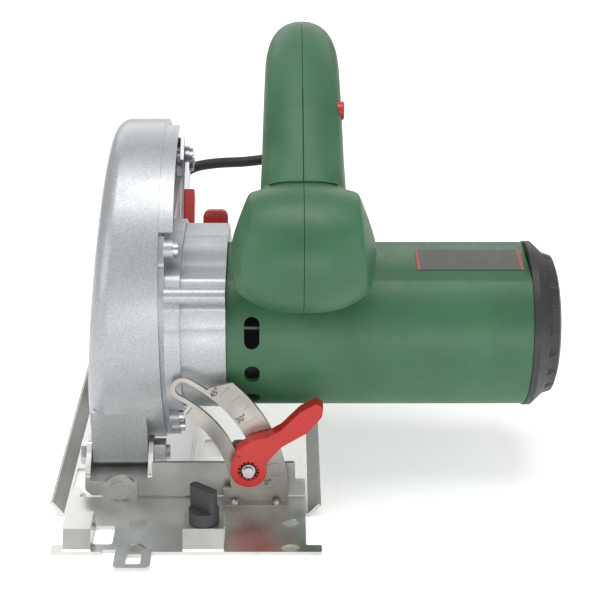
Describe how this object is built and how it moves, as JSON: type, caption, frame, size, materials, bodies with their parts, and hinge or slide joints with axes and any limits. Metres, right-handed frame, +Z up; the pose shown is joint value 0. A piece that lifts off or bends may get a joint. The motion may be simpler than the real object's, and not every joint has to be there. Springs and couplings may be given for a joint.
{
  "type": "circular saw",
  "caption": "Hand-held circular saw with a pressed steel sole that tilts for bevel cuts, a swinging saw body for depth, cast blade guard, gear housing, motor, closed handle and front ball grip.",
  "frame": {"origin": "centre of the sole plate's underside", "axes": "+X to the motor's end, +Y to the rear, where the cord leaves, +Z up from the sole"},
  "size_m": [0.269, 0.343, 0.2307],
  "materials": {
    "zinc": "bright zinc plated steel sheet",
    "nickel": "satin nickel plated steel",
    "steel": "turned and ground steel",
    "blade": "ground saw steel",
    "silver_paint": "silver metallic paint on cast light alloy",
    "light_alloy": "machined light alloy",
    "green_plastic": "green glass-filled plastic, fine grain",
    "black_plastic": "black plastic, fine grain",
    "red_plastic": "red plastic, half gloss",
    "label": "blank printed film label",
    "copper": "enamelled copper",
    "laminations": "stacked electrical steel sheets",
    "brass": "brass",
    "carbon": "pressed carbon",
    "grey_plastic": "grey plastic",
    "rubber": "soft black rubber"
  },
  "bodies": {
    "sole": {"sole_plate": "zinc", "bevel_pivot_rivets": "zinc", "bevel_quadrant": "nickel", "quadrant_rivets": "nickel"},
    "guide_knob": {"guide_knob": "black_plastic", "guide_knob_stud": "zinc"},
    "bevel_frame": {"front_bracket": "zinc", "depth_arc_bracket": "zinc", "depth_pivot_bolt": "zinc", "depth_pivot_nut": "zinc", "bevel_clamp_bolt": "zinc", "bevel_clamp_spacer": "zinc"},
    "bevel_lever": {"bevel_lever": "red_plastic", "bevel_lever_nut": "zinc"},
    "saw_body": {"upper_guard": "silver_paint", "depth_clamp_bolt": "zinc", "gear_housing": "silver_paint", "guard_screws": "zinc", "bearing_plate": "light_alloy", "intermediate_bush": "brass", "spindle_bearing": "steel", "armature_front_bearing": "steel", "armature_rear_bearing": "steel", "guard_spring": "steel", "motor_housing": "green_plastic", "motor_end_cap": "black_plastic", "rating_plate": "label", "stator_core": "laminations", "stator_windings": "copper", "brush_holders": "brass", "carbon_brushes": "carbon", "brush_springs": "steel", "handle_left": "green_plastic", "handle_right": "green_plastic", "handle_screws": "zinc", "switch_body": "black_plastic", "cord_strain_relief": "rubber", "power_cord": "rubber", "cord_coil": "rubber", "plug_body": "rubber", "plug_pins": "brass"},
    "spindle": {"spindle": "steel", "spindle_gear": "steel", "inner_flange": "steel", "outer_flange": "steel", "blade_bolt": "steel", "saw_blade": "blade"},
    "intermediate": {"intermediate_gear": "steel", "intermediate_shaft": "steel"},
    "armature": {"armature_shaft": "steel", "armature_core": "laminations", "armature_windings": "copper", "commutator": "copper", "cooling_fan": "grey_plastic"},
    "lower_guard": {"lower_guard": "light_alloy", "retract_lever": "red_plastic"},
    "trigger": {"trigger": "red_plastic"},
    "lock_off": {"lock_off_button": "red_plastic"},
    "spindle_lock": {"spindle_lock": "red_plastic"},
    "depth_lever": {"depth_lever": "red_plastic"}
  },
  "joints": [
    {"name": "guide_knob_turn", "type": "hinge", "parent": "sole", "child": "guide_knob", "pos_m": [0.0086, -0.1205, 0.012], "axis": [0, 0, 1], "continuous": true},
    {"name": "bevel_tilt", "type": "hinge", "parent": "sole", "child": "bevel_frame", "pos_m": [-0.0385, 0, 0.0075], "axis": [0, -1, 0], "range_deg": [0, 45]},
    {"name": "bevel_lever_turn", "type": "hinge", "parent": "bevel_frame", "child": "bevel_lever", "pos_m": [0.03105, -0.092, 0.02613], "axis": [0, -1, 0], "range_deg": [0, 80]},
    {"name": "depth_swing", "type": "hinge", "parent": "bevel_frame", "child": "saw_body", "pos_m": [-0.039, -0.062, 0.0185], "axis": [-1, 0, 0], "range_deg": [0, 41]},
    {"name": "spindle_spin", "type": "hinge", "parent": "saw_body", "child": "spindle", "pos_m": [0, 0.00832, 0.09155], "axis": [1, 0, 0], "continuous": true},
    {"name": "intermediate_spin", "type": "hinge", "parent": "saw_body", "child": "intermediate", "pos_m": [0, -0.02089, 0.09838], "axis": [1, 0, 0], "continuous": true},
    {"name": "armature_spin", "type": "hinge", "parent": "saw_body", "child": "armature", "pos_m": [0.09, -0.03756, 0.08519], "axis": [1, 0, 0], "continuous": true},
    {"name": "lower_guard_swing", "type": "hinge", "parent": "saw_body", "child": "lower_guard", "pos_m": [-0.02, 0.00832, 0.09155], "axis": [1, 0, 0], "range_deg": [0, 145], "stiffness_Nm_per_rad": 0.1, "springref_deg": -143.24},
    {"name": "trigger_pull", "type": "slide", "parent": "saw_body", "child": "trigger", "axis": [0, -0.0523, 0.9986], "range_m": [0, 0.005], "stiffness_N_per_m": 400},
    {"name": "lock_off_press", "type": "slide", "parent": "saw_body", "child": "lock_off", "axis": [-1, 0, 0], "range_m": [0, 0.003], "stiffness_N_per_m": 300},
    {"name": "spindle_lock_press", "type": "slide", "parent": "saw_body", "child": "spindle_lock", "axis": [0, -0.1959, -0.9806], "range_m": [0, 0.003], "stiffness_N_per_m": 500},
    {"name": "depth_lever_turn", "type": "hinge", "parent": "saw_body", "child": "depth_lever", "pos_m": [-0.006, 0.08566, 0.13807], "axis": [-1, 0, 0], "range_deg": [0, 60]}
  ],
  "couplings": [
    {"joint": "intermediate_spin", "follows": "spindle_spin", "ratio": -2.3333},
    {"joint": "armature_spin", "follows": "spindle_spin", "ratio": 7.5833}
  ]
}
